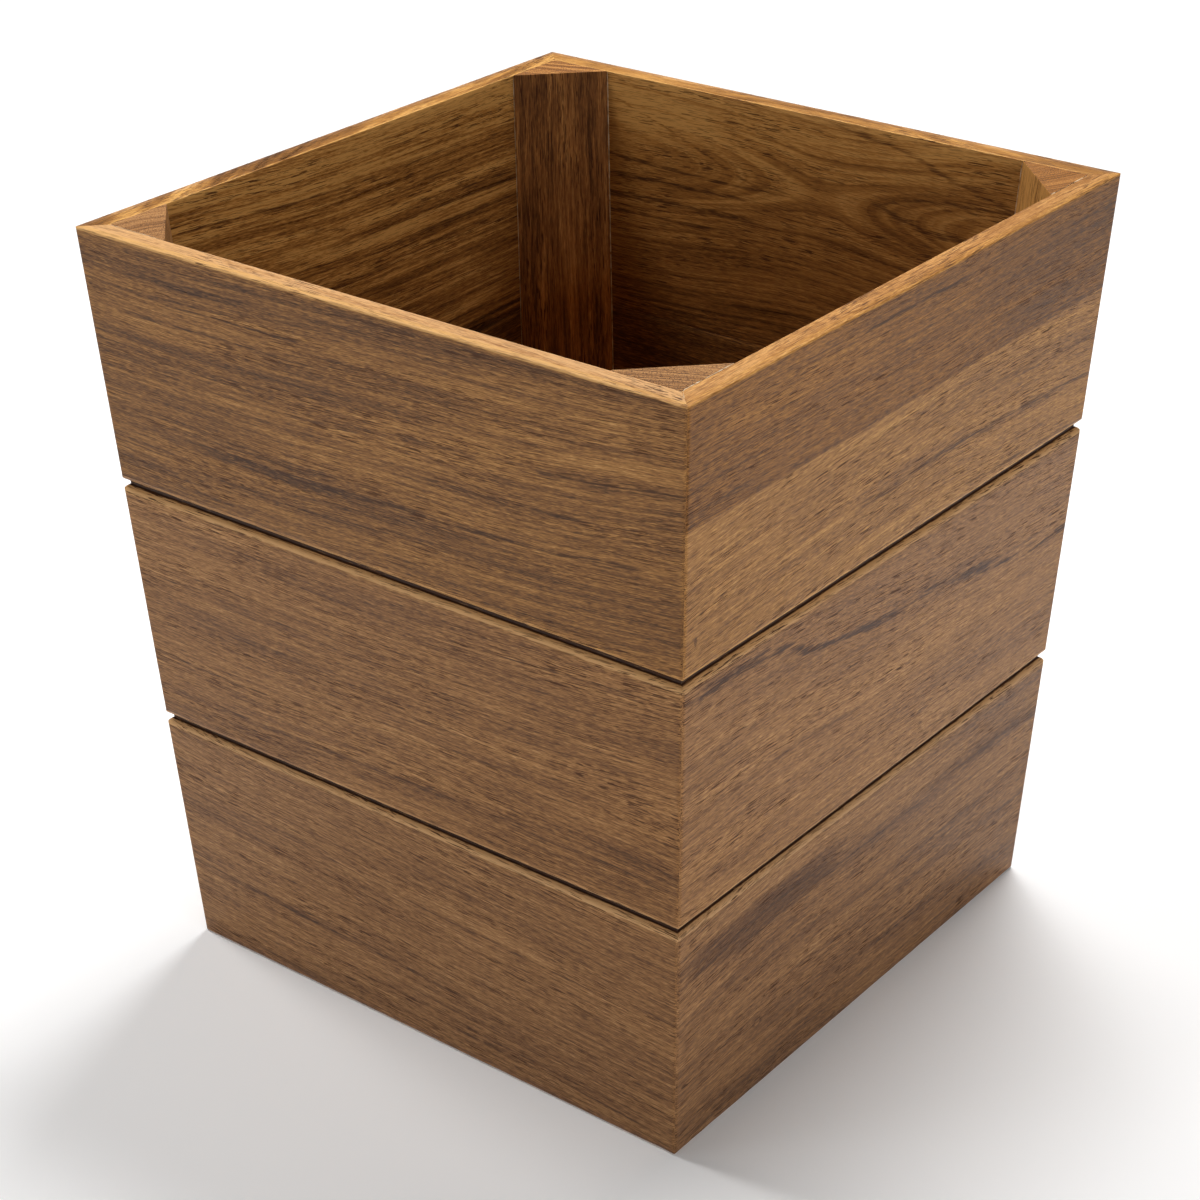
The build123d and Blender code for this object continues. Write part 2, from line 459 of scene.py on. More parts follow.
def veins_and_patches(g, figure, s, v, q):
    """How dark the wood is from single veins, which break up along their length, and patches."""
    seed = figure["seed"] * SEED_STEP
    rag = g.swing(1.0, g.vector(g.scale(s, 0.05, seed), g.scale(q, 0.8), seed), 2.0)
    gaps = g.noise(g.vector(g.scale(s, 0.03, seed), g.scale(q, 0.35), seed + 3), 2.0)
    grain = g.noise(g.vector(g.scale(s, 0.10, seed), g.scale(q, 1.5), seed + 6), 1.0)
    solid = g.times(g.step(gaps, 0.34, 0.52), g.scale(g.step(grain, 0.36, 0.58), 0.75, 0.25))
    total = 0.0
    for height, half_width, darkness, start, end in figure["veins"]:
        offset = g.add(q, g.scale(rag, 0.4 * half_width, -height))
        vein = g.times(vein_shape(g, s, offset, half_width, start, end), solid)
        total = g.add(total, g.scale(vein, darkness))
    for points, half_width, darkness in figure["paths"]:
        ragged = g.add(v, g.scale(rag, 0.5 * half_width))
        offset = g.math("SUBTRACT", ragged, g.curve(s, points, 0, 140))
        vein = g.times(vein_shape(g, s, offset, half_width, points[0][0], points[-1][0]), solid)
        total = g.add(total, g.scale(vein, darkness))
    for at_s, at_v, half_length, half_height, darkness in figure["patches"]:
        along = g.scale(s, 1 / half_length, -at_s / half_length)
        ragged = g.add(v, g.scale(rag, 0.2 * half_height))
        up = g.scale(ragged, 1 / half_height, -at_v / half_height)
        distance = g.add(g.times(along, along), g.times(up, up))
        total = g.add(total, g.scale(g.step(distance, 1.15, 0.35), darkness))
    return total


def dashes(g, s, q, u, seed, length, width, low, high):
    """Scattered short lines along the fibres."""
    place = g.vector(g.scale(s, 1 / length, seed), g.scale(q, 1 / width), g.scale(u, 1 / width))
    return g.step(g.noise(place, 1.0), low, high)


def pores_and_flecks(g, s, q, u, seed, cut, phase):
    """Dark pores and pale flecks, which crowd in some places more than in others."""
    crowd = g.noise(g.vector(g.scale(s, 0.012, seed), g.scale(q, 0.09), seed + 4), 2.0)
    crowd = g.add(g.step(crowd, 0.38, 0.62), g.scale(cut, 0.2))
    long_pores = dashes(g, s, q, u, seed, 14.0, 0.60, 0.585, 0.63)
    short_pores = dashes(g, s, q, u, seed + 9, 7.0, 0.45, 0.57, 0.64)
    # The short ones lie at the start of each ring
    pores = g.math("MAXIMUM", long_pores, g.times(short_pores, g.step(phase, 0.75, 0.10)))
    pores = g.times(pores, g.scale(crowd, 0.6, 0.4))
    flecks = g.times(dashes(g, s, q, u, seed + 5, 7.0, 0.6, 0.61, 0.72), g.scale(crowd, 0.5, 0.5))
    return pores, flecks


def place_tone(g, figure, v, u, upper):
    """The tone before any grain: the stave's, the rim's paler wood with its painted highlight, and
    the inner face's painted light and shade.
    """
    tone = figure["tone"]
    if figure["seam"]:
        tone = g.scale(upper, figure["upper_tone"], tone)
    # A top edge is paler wood with a painted highlight on it
    if any(figure["rim"]):
        outside, inside = figure["rim"]
        edge = g.scale(u, (inside - outside) / (STOCK / MM), outside)
        tone = g.add(tone, g.times(edge, g.step(v, *TOP_EDGE)))
    # Painted light and shade on the inner face, changing from its foot to its top
    if any(figure["inside"]):
        foot, top = figure["inside"]
        inner = g.scale(v, (top - foot) / (TIER_RISE / MM), foot)
        tone = g.add(tone, g.times(inner, g.step(u, *INNER_FACE)))
    return tone


def place_tint(g, figure, u, upper):
    """The shade that multiplies the colour: the outer face's in front, the inside's behind."""
    front = (*figure["tint"], 1)
    if figure["tint"] == figure["inside_tint"]:
        return front
    if figure["seam"]:
        front = g.blend(upper, front, (*figure["upper_tint"], 1))
    return g.blend(g.step(u, *BEHIND_FACE), front, (*figure["inside_tint"], 1))


def teak(name, coordinates=mesh_coordinates, **changes):
    """Oiled teak as a solid: rings round a pith behind the board, veins, pores and fibres, with
    painted light and shade on rims, roundovers, grooves and inner faces.
    """
    figure = dict(PLAIN_FIGURE, **changes)
    g = Graph(name)
    s, v, u = (g.scale(value, 1 / MM) for value in coordinates(g))
    # The attribute "cut" also carries painted light and shade: a highlight on up-facing roundovers,
    # less on down-facing ones, and shadow deep in a groove
    cut_light_and_shade = g.node("Attribute", attribute_name="cut").outputs["Fac"]
    cut = g.math("MINIMUM", cut_light_and_shade, 1.0)
    groove = g.math("SUBTRACT", cut_light_and_shade, 1.0, clamp=True)

    q = fibre_height(g, figure, s, v, u)
    upper = 0.0
    if figure["seam"]:
        # Above the glue seam the wood is another stave, cut from elsewhere in the tree
        upper = g.math("GREATER_THAN", v, figure["seam"])
        q = g.add(q, g.scale(upper, OTHER_STAVE))
    change, phase = streaks_and_rings(g, figure, s, q, u, cut)
    dark = veins_and_patches(g, figure, s, v, q)
    tone = g.add(
        place_tone(g, figure, v, u, upper),
        change,
        g.scale(dark, VEIN_TONE),
        # painted highlight on up-facing roundovers, with the cut wood's own tone
        g.scale(cut, figure["cut_and_highlight_tone"]),
        # painted shadow deep in a groove
        g.scale(groove, GROOVE_SHADE_TONE),
    )
    pores, flecks = pores_and_flecks(g, s, q, u, figure["seed"] * SEED_STEP, cut, phase)

    colour = g.ramp(tone, TEAK)
    colour = g.blend(g.math("MULTIPLY", dark, VEIN_COVER, clamp=True), colour, VEIN)
    colour = g.blend(g.scale(flecks, figure["flecks"]), colour, FLECK)
    colour = g.blend(g.scale(pores, figure["pores"]), colour, PORE)
    colour = g.blend(1.0, colour, place_tint(g, figure, u, upper), "MULTIPLY")
    g.feed(g.shader.inputs["Base Color"], colour)
    g.shader.inputs["Specular IOR Level"].default_value = 0.15
    g.feed(g.shader.inputs["Roughness"], g.add(0.42, g.scale(pores, 0.25), g.scale(change, 0.3)))
    relief = g.add(g.scale(pores, -1.2), g.scale(change, 0.7))
    g.feed(g.shader.inputs["Normal"], g.bump(relief, 0.4, 0.12 * MM))
    return g.material


# ---------------------------------------------------------------------------
# Wall boards
# ---------------------------------------------------------------------------

def arc(centre, radius, start, end, steps):
    """Points on an arc in the section's plane; angles in degrees."""
    points = []
    for i in range(steps + 1):
        angle = math.radians(start + (end - start) * i / steps)
        points.append((centre[0] + radius * math.cos(angle), centre[1] + radius * math.sin(angle)))
    return points


def split_run(start, end, step):
    """Points from start up to but not including end, about a step apart."""
    count = max(1, round(math.dist(start, end) / step))
    return [
        (start[0] + (end[0] - start[0]) * i / count, start[1] + (end[1] - start[1]) * i / count)
        for i in range(count)
    ]


def level_cut(u, height):
    """How far up the leaning face a level plane meets a point at depth u."""
    return (height - u * math.sin(LEAN)) / math.cos(LEAN)


def board_section(tier):
    """The closed section of a board as (u, v) points, from its upper outer arris downwards."""
    is_lowest, is_highest = tier == 0, tier == len(TIERS) - 1
    low, high = tier * TIER_RISE, (tier + 1) * TIER_RISE
    rim = HEIGHT - TOP_CLEARANCE
    back = LIP + TONGUE
    edge = math.degrees(math.acos((ROUNDOVER - LIP) / ROUNDOVER))
    # down the outer face
    if is_highest:
        upper = arc((RIM_ROUND, level_cut(RIM_ROUND, rim) - RIM_ROUND), RIM_ROUND, 90, 180, 5)
    else:
        upper = arc((ROUNDOVER, high - REVEAL / 2 - ROUNDOVER), ROUNDOVER, 180 - edge, 180, 9)
    if is_lowest:
        base_centre = level_cut(BASE_ROUND, BASE_CLEARANCE) + BASE_ROUND
        lower = arc((BASE_ROUND, base_centre), BASE_ROUND, 180, 270, 6)
    else:
        lower = arc((ROUNDOVER, low + REVEAL / 2 + ROUNDOVER), ROUNDOVER, 180, 180 + edge, 9)
    points = upper[:-1] + split_run(upper[-1], lower[0], 2.5 * MM) + lower
    # inwards along the lower edge
    arris = STOCK - INNER_EASE
    if is_lowest:
        inner_low = level_cut(arris, BASE_CLEARANCE)
        points += split_run(lower[-1], (arris, inner_low), 3 * MM)[1:]
    else:
        inner_low = low
        groove_top = low + TONGUE_RISE + TONGUE_GAP
        points += [(LIP, groove_top), (back, groove_top), (back, low)]
    points.append((arris, inner_low))
    # up the inner face
    inner_high = level_cut(STOCK, rim) if is_highest else high
    face_top = (STOCK, inner_high - UPPER_EASE)
    points += split_run((STOCK, inner_low + INNER_EASE), face_top, 4 * MM)
    points.append(face_top)
    # outwards along the upper edge
    if is_highest:
        lip = STOCK - UPPER_EASE
        inner_lip = (lip, level_cut(lip, rim))
        points += arc((lip, inner_high - UPPER_EASE), UPPER_EASE, 30, 75, 3)
        points += split_run(inner_lip, upper[0], 2 * MM)
    else:
        points += [(arris, high), (back, high)]
        points += [(back, high + TONGUE_RISE), (LIP, high + TONGUE_RISE)]
    return points


NEAR_END = (0.0, 0.4, 0.8, 1.2, 1.7, 2.3, 3.2, 4.5)   # millimetres from the rim's corner
MIDDLE_STEPS = 90


def stations():
    """Places along a board from -1 to 1, close together near the mitred ends."""
    end = [1.0 - gap * MM / RIM_HALF for gap in NEAR_END]
    limit = end[-1]
    middle = [-limit + 2 * limit * i / MIDDLE_STEPS for i in range(1, MIDDLE_STEPS)]
    return [-t for t in end] + middle + end[::-1]


def eased(along, u, end_half, radius):
    """Rounds the outer vertical corner of the box: pulls a point in to the corner's arc."""
    gap = end_half - abs(along)
    x, y = radius - gap, radius - u
    if x <= 0 or y <= 0:
        return along, u
    far = math.hypot(x, y)
    if far <= radius:
        return along, u
    x, y = x / far * radius, y / far * radius
    return math.copysign(end_half - (radius - x), along), radius - y


def to_world(s, u, v, angle):
    """From a side's coordinates to the stand's own frame."""
    out = BASE_HALF - u * math.cos(LEAN) + v * math.sin(LEAN)
    z = u * math.sin(LEAN) + v * math.cos(LEAN)
    return Matrix.Rotation(math.radians(angle), 3, "Z") @ Vector((s, -out, z))


def grid_faces(rows, columns):
    """Quads of a closed tube of rows of points, with one face over each end."""
    faces = []
    for i in range(rows - 1):
        for j in range(columns):
            k = (j + 1) % columns
            faces.append(
                (i * columns + j, i * columns + k, (i + 1) * columns + k, (i + 1) * columns + j)
            )
    faces.append(tuple(range(columns))[::-1])
    faces.append(tuple(range((rows - 1) * columns, rows * columns)))
    return faces


SHARP_ANGLE = math.radians(35)


def make_piece(name, vertices, faces, material, grain=None, cut=None):
    """A smooth-shaded mesh object riding on the stand, with its wood coordinates."""
    mesh = bpy.data.meshes.new(name)
    mesh.from_pydata([tuple(v) for v in vertices], [], faces)
    mesh.validate()
    if grain:
        attribute = mesh.attributes.new("grain", "FLOAT_VECTOR", "POINT")
        attribute.data.foreach_set("vector", [c for point in grain for c in point])
        attribute = mesh.attributes.new("cut", "FLOAT", "POINT")
        attribute.data.foreach_set("value", cut)
    for polygon in mesh.polygons:
        polygon.use_smooth = True
    piece = bpy.data.objects.new(name, mesh)
    bpy.context.scene.collection.objects.link(piece)
    mesh.set_sharp_from_angle(angle=SHARP_ANGLE)
    mesh.materials.append(material)
    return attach(piece, "root")


# Radius of each rounded vertical corner, by the side on whose right end it stands
CORNER_ROUND = {"front": 2.2 * MM, "right": 2.2 * MM, "back": 4.0 * MM, "left": 2.4 * MM}
SIDE_ORDER = list(SIDES)
ARRIS_FADE = 8 * MM              # wear fades out this near to a mitre
HOLLOW = 0.10 * MM               # depth left by planing
RUB = 0.25 * MM                  # depth of the wear on a roundover


def how_cut_and_lit(u, v, tier):
    """0 on a board's flat faces, 0.5 or 1 on its lower or upper roundover, 2 deep in a groove; the
    upper gets 1 to paint it lit from above, the lower 0.5 as in shade, and 2 paints shadow.
    """
    near_joint = (v > TIER_RISE / 2 and tier < len(TIERS) - 1) or (v < TIER_RISE / 2 and tier > 0)
    if not near_joint or u < 0.1 * MM or u > LIP + TONGUE:
        return 0.0
    if u > 0.75 * LIP:
        return 2.0
    return 1.0 if v > TIER_RISE / 2 else 0.5


def worn_depth(s, v, angle, on_round, end_gap):
    """How far behind the CAD's a point lies: planed hollows, and roundovers rubbed by hand."""
    sway = 0.5 + 0.5 * noise.noise(Vector((s * 35, v * 45, angle + 0.7)))
    rub = max(0.0, noise.noise(Vector((s * 90, v * 30, angle + 5.2))))
    fade = min(1.0, end_gap / ARRIS_FADE)
    return (HOLLOW * sway + (RUB * rub if on_round else 0.0)) * fade + FACE_CLEARANCE


def make_board(side, tier, material):
    """A wall board with its roundovers, tongue and groove, mitred ends and hand-sanded arrises."""
    angle = SIDES[side]
    node = f"{TIERS[tier]}_board_{side}"
    section = board_section(tier)
    low = tier * TIER_RISE
    outer_top = section[0][1]
    outer_bottom = min(v for u, v in section)
    right_round = CORNER_ROUND[side]
    left_round = CORNER_ROUND[SIDE_ORDER[SIDE_ORDER.index(side) - 1]]
    places = stations()
    vertices, grain, cut = [], [], []
    for t in places:
        for u, v in section:
            end_half = BASE_HALF - u * math.cos(LEAN) + v * math.sin(LEAN)
            outer_half = BASE_HALF + v * math.sin(LEAN)
            s = t * (end_half - MITRE_GAP)
            radius = right_round if s > 0 else left_round
            s, eased_u = eased(s, u, outer_half, radius)
            sink = 0.0
            if u < LIP:
                on_round = outer_top - v < ROUNDOVER or v - outer_bottom < ROUNDOVER
                sink = worn_depth(s, v, angle, on_round, outer_half - abs(s))
            vertices.append(to_world(s, eased_u + sink, v, angle))
            grain.append((s, v - low, eased_u + sink))
            cut.append(how_cut_and_lit(u, v - low, tier))
    faces = grid_faces(len(places), len(section))
    piece = make_piece(f"{node}_wood", vertices, faces, material, grain, cut)
    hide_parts(node)


# What each board shows; the main ones are hand-tuned and the rest differ by seed
FIGURES = {
    # rim, on the top boards below, is paler wood with a painted highlight on it
    "top_front": dict(
        tone=0.48, pith=210, streaks=0.12, fine=0.15, bands=0.05, flecks=0.40, rim=(0.58, 0.60),
        tint=(1.0, 0.97, 0.78), inside_tint=(1.0, 0.98, 0.95),
        flow=((-180, 3), (-90, 0), (0, 2), (90, 8), (180, 20)),
        flow_range=(-10, 0, 90, 170),
        veins=(
            (73, 1.4, 0.80, 18, 180), (36, 1.7, 0.85, -110, 180), (120, 2.0, 0.55, -140, 60),
            (97, 1.0, 0.70, -150, -20), (55, 1.1, 0.60, 30, 150), (108, 0.8, 0.70, -120, -40),
        ),
    ),
    "middle_front": dict(
        tone=0.545, pith=-90, streaks=0.08, fine=0.14, tint=(1.0, 0.99, 0.94),
        flow=((-180, 0), (0, 0), (90, 4), (180, 12)),
        flow_range=(40, 90, 134, 144),
        veins=(
            (114, 1.2, 0.60, 50, 175), (41, 1.0, 0.65, -175, -80), (50, 0.9, 0.60, -40, 60),
            (22, 1.4, 0.50, -120, 160), (86, 0.8, 0.50, -160, -60), (70, 0.8, 0.45, 60, 170),
        ),
    ),
    "bottom_front": dict(
        tone=0.575, pith=260, streaks=0.09, fine=0.14, tint=(1.0, 1.01, 1.02),
        flow=((-180, 14), (-140, 9), (-90, 5), (0, 0), (180, -8)),
        veins=((38, 1.6, 0.65, -165, 30), (84, 1.0, 0.50, -60, 120), (15, 1.2, 0.50, 20, 160)),
    ),
    "top_right": dict(
        tone=0.66, pith=-60, streaks=0.07, fine=0.11, bands=0.05, flecks=0.25, rim=(0.34, 0.36),
        tint=(1.0, 0.95, 0.72), inside_tint=(1.0, 0.90, 0.66),
        seam=75, upper_tone=-0.20, upper_tint=(1.0, 0.90, 0.56),
        flow=((-180, -12), (-99, -5), (-22, 0), (31, 2), (85, -1), (131, -3), (180, -7)),
        flow_range=(-10, 0, 75, 75.5),
        veins=(
            (36, 3.0, 0.50, -40, 185), (57, 4.5, 0.28, 10, 185), (10, 1.2, 0.55, 45, 180),
            (24, 5.0, 0.14, -170, -90), (32, 3.5, 0.18, -110, -20), (182, 1.6, 1.2, -45, 30),
        ),
        patches=(
            (-165, 19, 1.3, 2.4, 0.45), (125, 112, 80, 38, 0.12), (-100, 108, 75, 34, -0.12),
        ),
    ),
    "middle_right": dict(
        tone=0.61, pith=-80, streaks=0.06, fine=0.10, bands=0.05, flecks=0.30,
        tint=(1.0, 0.99, 0.96),
        flow=((-180, 9), (-92, 7), (0, 0), (60, -2), (180, -8)),
        flow_range=(-30, 95, 150, 190),
        paths=(
            (((-165, 123), (-127, 123), (-92, 118), (-74, 109), (-32, 100.5), (-9, 96.5)),
             3.2, 1.0),
            (((-15, 96.5), (18, 95.5), (58, 92), (83, 89)), 2.2, 0.6),
            (((60, 91), (90, 86), (113, 80.5), (143, 77), (185, 78)), 3.2, 1.1),
            (((-60, 106), (0, 99), (70, 95)), 1.2, 0.5),
        ),
        veins=((80, 2.5, 0.25, -185, -115), (55, 3.0, 0.22, -185, -30)),
        patches=((56, 20, 26, 10, -0.14), (-140, 78, 30, 5, 0.14), (60, 50, 50, 9, 0.06)),
    ),
    "bottom_right": dict(
        tone=0.56, pith=-120, streaks=0.10, fine=0.12, flecks=0.30, tint=(0.98, 1.0, 1.06),
        flow=((-180, -6), (-90, 3), (0, 0), (90, -2), (180, 0)),
        veins=((103, 3.0, 0.35, 80, 185), (88, 1.2, 0.25, -60, 90)),
        patches=(
            (-95, 108, 70, 12, 0.30), (100, 106, 60, 6, 0.20),
            (-94, 42, 4.4, 3.8, 0.30), (-94, 42, 2.6, 2.2, -0.45), (-154, 40, 2.2, 1.2, 0.5),
        ),
    ),
    # inside, here and on the top back board, paints light at the top of the inner face and shade
    # towards its foot
    "top_left": dict(
        tone=0.57, pith=-120, streaks=0.30, fine=0.22, bands=0.10, rim=(0.07, 0.17),
        inside=(-0.16, 0.46),
        flow=((-180, -3), (-125, -2), (0, 1), (118, 9), (180, 12)),
        flow_range=(60, 100, 134, 144),
        veins=(
            (107, 1.2, 0.55, -90, 120), (84, 2.6, 0.75, -185, -40), (79, 1.0, 0.6, -185, 20),
            (70, 1.6, 0.50, -185, 0), (60, 1.2, 0.5, -185, 0), (96, 0.8, 0.45, -150, -20),
        ),
    ),
    "top_back": dict(
        tone=0.59, pith=90, streaks=0.14, fine=0.12, late=0.14, rim=(0.05, 0.12),
        grit=0.09, inside=(-0.12, 0.33), flecks=0.5,
        paths=(
            (((-150, 98), (-125, 107), (-90, 116), (-60, 125), (-20, 131)), 2.2, 0.55),
            (((-140, 85), (-90, 85), (-62, 89), (-50, 94)), 2.4, 0.75),
            (((-140, 104), (-95, 103), (-65, 99), (-50, 94)), 1.2, 0.60),
            (((20, 86), (45, 93), (75, 104), (125, 120)), 1.1, 0.60),
            (((15, 87), (60, 86), (100, 87), (160, 90)), 1.3, 0.75),
        ),
        veins=((77, 1.8, 0.90, 40, 185), (66, 2.8, 0.70, 20, 185), (57, 1.6, 0.70, 50, 185)),
        depth=((-180, 3), (-120, 6), (-52, 14), (-15, 17), (25, 14), (70, 8), (125, 3), (180, 2)),
        wander=3.0,
        patches=((87, 112, 42, 15, -0.35),),
    ),
    # inside darkens the inner faces of these middle boards as painted shade
    "middle_left": dict(tone=0.45, streaks=0.2, inside=(-0.12, -0.12)),
    "middle_back": dict(tone=0.47, inside=(-0.12, -0.12)),
}


def make_walls():
    """The twelve boards, each with its own figure and a seed of its own."""
    for side in SIDES:
        for tier, tier_name in enumerate(TIERS):
            figure = dict(seed=tier * len(SIDES) + SIDE_ORDER.index(side))
            figure.update(FIGURES.get(f"{tier_name}_{side}", {}))
            make_board(side, tier, teak(f"teak_{tier_name}_{side}", **figure))


# ---------------------------------------------------------------------------
# Corner posts
# ---------------------------------------------------------------------------

def inner_half_width(z):
    """Half the clear width between opposite walls at a height."""
    return BASE_HALF - WALL + SLOPE * z


def post_outline():
    """A post's level section from its inner corner: (along the front wall, along the side wall)."""
    leg, ease = POST_LEG, POST_EASE
    runs = (
        ((0, 0), (leg - 2 * ease, 0)),
        ((leg - ease, ease), (ease, leg - ease)),
        ((0, leg - 2 * ease), (0, 0)),
    )
    points = []
    for start, end in runs:
        points += split_run(start, end, 1.5 * MM) + [end]
    return points[:-1]


POST_STEPS = 60
# The uppermost levels as (distance below the top, how far the outline shrinks to its middle)
SAWN_TOP = ((0.5 * MM, 0.0), (0.15 * MM, 0.0), (0.0, 0.012), (0.0, 0.03), (0.0, 0.5))
POST_WAVE = 0.12 * MM            # unevenness of the long face


def make_post(corner, material):
    """A triangular post in an inside corner, with eased long edges and a sawn top."""
    angle = CORNERS[corner]
    turn = Matrix.Rotation(math.radians(angle), 3, "Z")
    outline = post_outline()
    middle = POST_LEG / 3
    top = HEIGHT - TOP_CLEARANCE
    levels = [(max(BASE_CLEARANCE, top * i / POST_STEPS), 0.0) for i in range(POST_STEPS)]
    levels += [(top - below, inset) for below, inset in SAWN_TOP]
    vertices, grain, cut = [], [], []
    for z, inset in levels:
        for x, y in outline:
            x, y = x + (middle - x) * inset, y + (middle - y) * inset
            corner_half = inner_half_width(z) - FACE_CLEARANCE
            wave = POST_WAVE * noise.noise(Vector((z * 25, x * 60, angle + 3.1)))
            shift = wave if x + y > POST_LEG * 0.9 else 0.0
            place = turn @ Vector((x - corner_half - shift, y - corner_half - shift, z))
            vertices.append(place)
            grain.append((z, x, y))
            cut.append(1.0 if inset else 0.0)
    faces = grid_faces(len(levels), len(outline))
    node = f"corner_post_{corner}"
    piece = make_piece(f"{node}_wood", vertices, faces, material, grain, cut)
    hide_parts(node)


# A post's own height runs from 0 to 402, so its figure's lines are long
POST_FIGURE = dict(
    depth=((0, 60), (402, 60)), flow=((0, 0), (402, 0)), flow_range=(-30, -20, 60, 70),
    wander=1.0, cut_and_highlight_tone=0.06, grit=0.10,
)
POST_FIGURES = {
    "front_left": dict(
        tone=0.58, tint=(1.0, 0.98, 0.92), pith=48, depth=((0, 10), (402, 6)), ring=1.25,
        late=0.16, seed=31,
    ),
    "front_right": dict(
        tone=0.56, tint=(1.0, 0.98, 0.88), pith=-260, depth=((0, 110), (402, 110)), ring=2.2,
        late=0.12, seed=32,
    ),
    "back_right": dict(
        tone=1.0, cut_and_highlight_tone=-0.47, tint=(1.0, 0.86, 0.54), pith=160, ring=2.4, late=0.10,
        fine=0.10, seed=33,
    ),
    "back_left": dict(
        tone=0.57, tint=(1.0, 0.87, 0.60), pith=-200, late=0.03, streaks=0.20, fine=0.22,
        veins=((9, 0.8, -0.7, -20, 430), (20, 0.7, -0.6, -20, 430), (28, 2.2, -0.4, -20, 430)),
        seed=34,
    ),
}


def make_posts():
    """The four posts, each of one shade all through."""
    for corner in CORNERS:
        figure = dict(POST_FIGURE, **POST_FIGURES[corner])
        figure["inside_tint"] = figure["tint"]
        make_post(corner, teak(f"teak_post_{corner}", **figure))


# ---------------------------------------------------------------------------
# Glue left in the joints of the posts
# ---------------------------------------------------------------------------

GLUE = (                         # thin and brown to thick and pale
    (0.30, (0.34, 0.20, 0.10)),
    (0.52, (0.66, 0.52, 0.34)),
    (0.75, (0.82, 0.74, 0.58)),
)
CRACK = (                        # shadow to dust
    (0.40, (0.020, 0.012, 0.008)),
    (0.70, (0.10, 0.06, 0.035)),
)
BEAD_SIDES, BEAD_STEPS = 8, 160
BEAD_TOP = 0.6 * MM              # below the rim
BEAD_FOOT = 60 * MM              # about this far above the base
SEAM_DROP = 0.5 * MM             # how far a line of glue goes down into its joint


def dried_glue():
    """Cloudy cream glue, brown where it is thin."""
    g = Graph("dried_glue")
    cloud = g.object_noise(260, 3.0)
    g.feed(g.shader.inputs["Base Color"], g.ramp(cloud, GLUE))
    g.feed(g.shader.inputs["Roughness"], g.scale(cloud, 0.4, 0.15))
    g.feed(g.shader.inputs["Normal"], g.bump(cloud, 0.4, 0.1 * MM))
    return g.material


def crack_shadow():
    """The dark bottom of an open joint: painted shadow, with dust."""
    g = Graph("open_joint")
    dust = g.object_noise(700, 2.0)
    g.feed(g.shader.inputs["Base Color"], g.ramp(dust, CRACK))
    g.feed(g.shader.inputs["Roughness"], g.scale(dust, 0.2, 0.7))
    return g.material


def post_point(corner, x, y, z):
    """A point given in a post's own plan, from its inner corner, in the stand's frame."""
    half = inner_half_width(z)
    turn = Matrix.Rotation(math.radians(CORNERS[corner]), 3, "Z")
    return turn @ Vector((x - half, y - half, z))


def make_bead(corner, leg, thickness, material):
    """A bead of squeezed-out glue down the edge where a post's face meets a wall."""
    salt = CORNERS[corner] + 40 * leg
    vertices = []
    for i in range(BEAD_STEPS):
        z = HEIGHT - BEAD_TOP - (HEIGHT - BEAD_FOOT) * i / (BEAD_STEPS - 1)
        along = POST_LEG + 0.1 * MM * noise.noise(Vector((z * 40, salt, 1.5)))
        x, y = (along, 0.12 * MM) if leg == 0 else (0.12 * MM, along)
        lump = max(0.0, noise.noise(Vector((z * 55, salt, 4.2))))
        smear = 0.5 + 0.5 * noise.noise(Vector((z * 260, salt, 8.8)))
        radius = thickness * (0.30 + 0.45 * smear + 1.6 * lump * lump)
        if i in (0, BEAD_STEPS - 1):
            radius *= 0.1
        centre = post_point(corner, x, y, z)
        for k in range(BEAD_SIDES):
            turn = 2 * math.pi * k / BEAD_SIDES
            vertices.append(centre + Vector((radius * math.cos(turn), radius * math.sin(turn), 0)))
    name = f"glue_bead_{corner}_{leg + 1}"
    make_piece(name, vertices, grid_faces(BEAD_STEPS, BEAD_SIDES)[:-2], material)


def make_seam(name, corner, path, width, gaps, sunk, material):
    """A ragged line in a joint at the rim, along a path in the post's plan, with thin gaps."""
    run = []
    for start, end in zip(path, path[1:]):
        run += split_run(start, end, 0.4 * MM)
    run.append(path[-1])
    vertices = []
    for i, (x, y) in enumerate(run):
        before, after = run[max(0, i - 1)], run[min(len(run) - 1, i + 1)]
        along = Vector((after[0] - before[0], after[1] - before[1])).normalized()
        rough = noise.noise(Vector((x * 500, y * 500, len(name))))
        open_part = noise.noise(Vector((x * 150, y * 150, len(name) + 3.7)))
        half = width / 2 * max(0.08, 0.8 + 0.7 * rough - gaps * max(0.0, 0.3 - open_part))
        for side, drop in ((-1, SEAM_DROP), (1, SEAM_DROP), (1, 0.0), (-1, 0.0)):
            px, py = x - along.y * half * side, y + along.x * half * side
            vertices.append(post_point(corner, px, py, HEIGHT - sunk - drop))
    make_piece(name, vertices, grid_faces(len(run), 4), material)


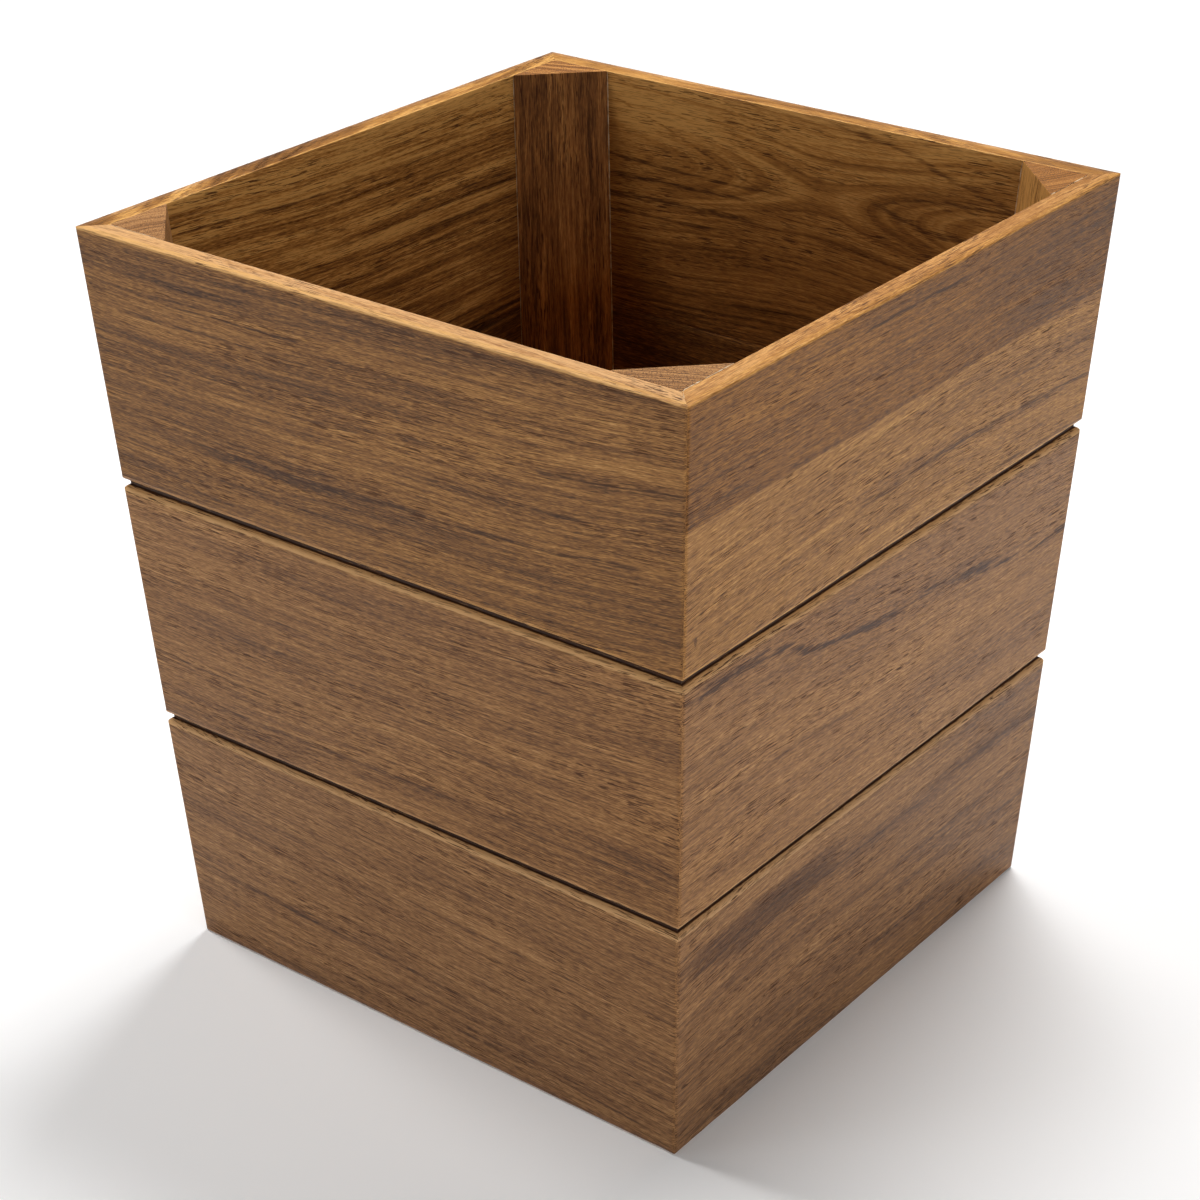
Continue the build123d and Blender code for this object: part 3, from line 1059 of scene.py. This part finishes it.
def make_glue():
    """Beads down three edges of the posts, lines in the joints at the rim, and one open joint."""
    glue = dried_glue()
    make_bead("back_left", 1, 0.55 * MM, glue)
    make_bead("back_left", 0, 0.25 * MM, glue)
    make_bead("back_right", 0, 0.60 * MM, glue)
    end = POST_LEG - 0.5 * MM
    mitre = -5 * MM
    left = [(end, 0), (0.5 * MM, 0)]
    front = [(end, 0), (2 * MM, 0), (0.2 * MM, -0.6 * MM), (mitre, mitre)]
    right = [(0, end), (0, 2 * MM)]
    # Below the rim; the glue at the right lies on top of its open joint
    low, high = 0.015 * MM, 0.008 * MM
    make_seam("glue_line_left", "front_left", left, 0.45 * MM, 1.0, low, glue)
    make_seam("glue_line_front", "front_right", front, 0.45 * MM, 0.6, low, glue)
    make_seam("glue_line_right", "back_right", right, 0.60 * MM, 5.0, high, glue)
    make_seam("open_joint_right", "back_right", right, 0.75 * MM, 1.5, low, crack_shadow())


# ---------------------------------------------------------------------------
# Floor and screws, which keep their CAD shapes
# ---------------------------------------------------------------------------

STEEL = (                        # grime to bright metal
    (0.30, (0.30, 0.28, 0.25)),
    (0.60, (0.56, 0.55, 0.53)),
    (1.00, (0.66, 0.65, 0.63)),
)
SLAT_COUNT = 7


def object_coordinates(order):
    """Wood coordinates straight from the stand's frame, as (s, v, u) named by axis letters."""
    def read(g):
        place = g.node("TexCoord")
        axes = dict(zip("xyz", g.split(place.outputs["Object"])))
        return [axes[letter] for letter in order]
    return read


def steel():
    """Bright screw steel, mottled with a little grime."""
    g = Graph("screw_steel")
    grain = g.object_noise(900, 3.0)
    g.shader.inputs["Metallic"].default_value = 1.0
    g.feed(g.shader.inputs["Base Color"], g.ramp(grain, STEEL))
    g.feed(g.shader.inputs["Roughness"], g.scale(grain, 0.3, 0.15))
    g.feed(g.shader.inputs["Normal"], g.bump(grain, 0.3, 0.05 * MM))
    return g.material


def dress(node_name, material):
    """Gives a CAD node that stays its material."""
    node_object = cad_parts[node_name]
    node_object.data.materials.clear()
    node_object.data.materials.append(material)


def dress_floor():
    """Teak for the slats and cleats, each with its own figure, and steel for the screws."""
    plain = dict(flow_range=(-400, -300, 300, 400), depth=((-180, 40), (180, 40)))
    for row in range(SLAT_COUNT):
        figure = dict(
            plain, tone=0.52 + 0.06 * math.sin(row * 2.4), pith=-200 - 31 * row, seed=40 + row
        )
        wood = teak(f"teak_slat_{row + 1}", object_coordinates("xyz"), **figure)
        dress(f"floor_slat_{row + 1}", wood)
    for index, side in enumerate(SIDES):
        order = "xyz" if side in ("front", "back") else "yxz"
        figure = dict(plain, tone=0.48, pith=-300, seed=50 + index)
        wood = teak(f"teak_cleat_{side}", object_coordinates(order), **figure)
        dress(f"floor_cleat_{side}", wood)
    metal = steel()
    for name in ("floor_screws", "cleat_screws"):
        dress(name, metal)


make_camera()
make_studio()
make_walls()
make_posts()
make_glue()
dress_floor()
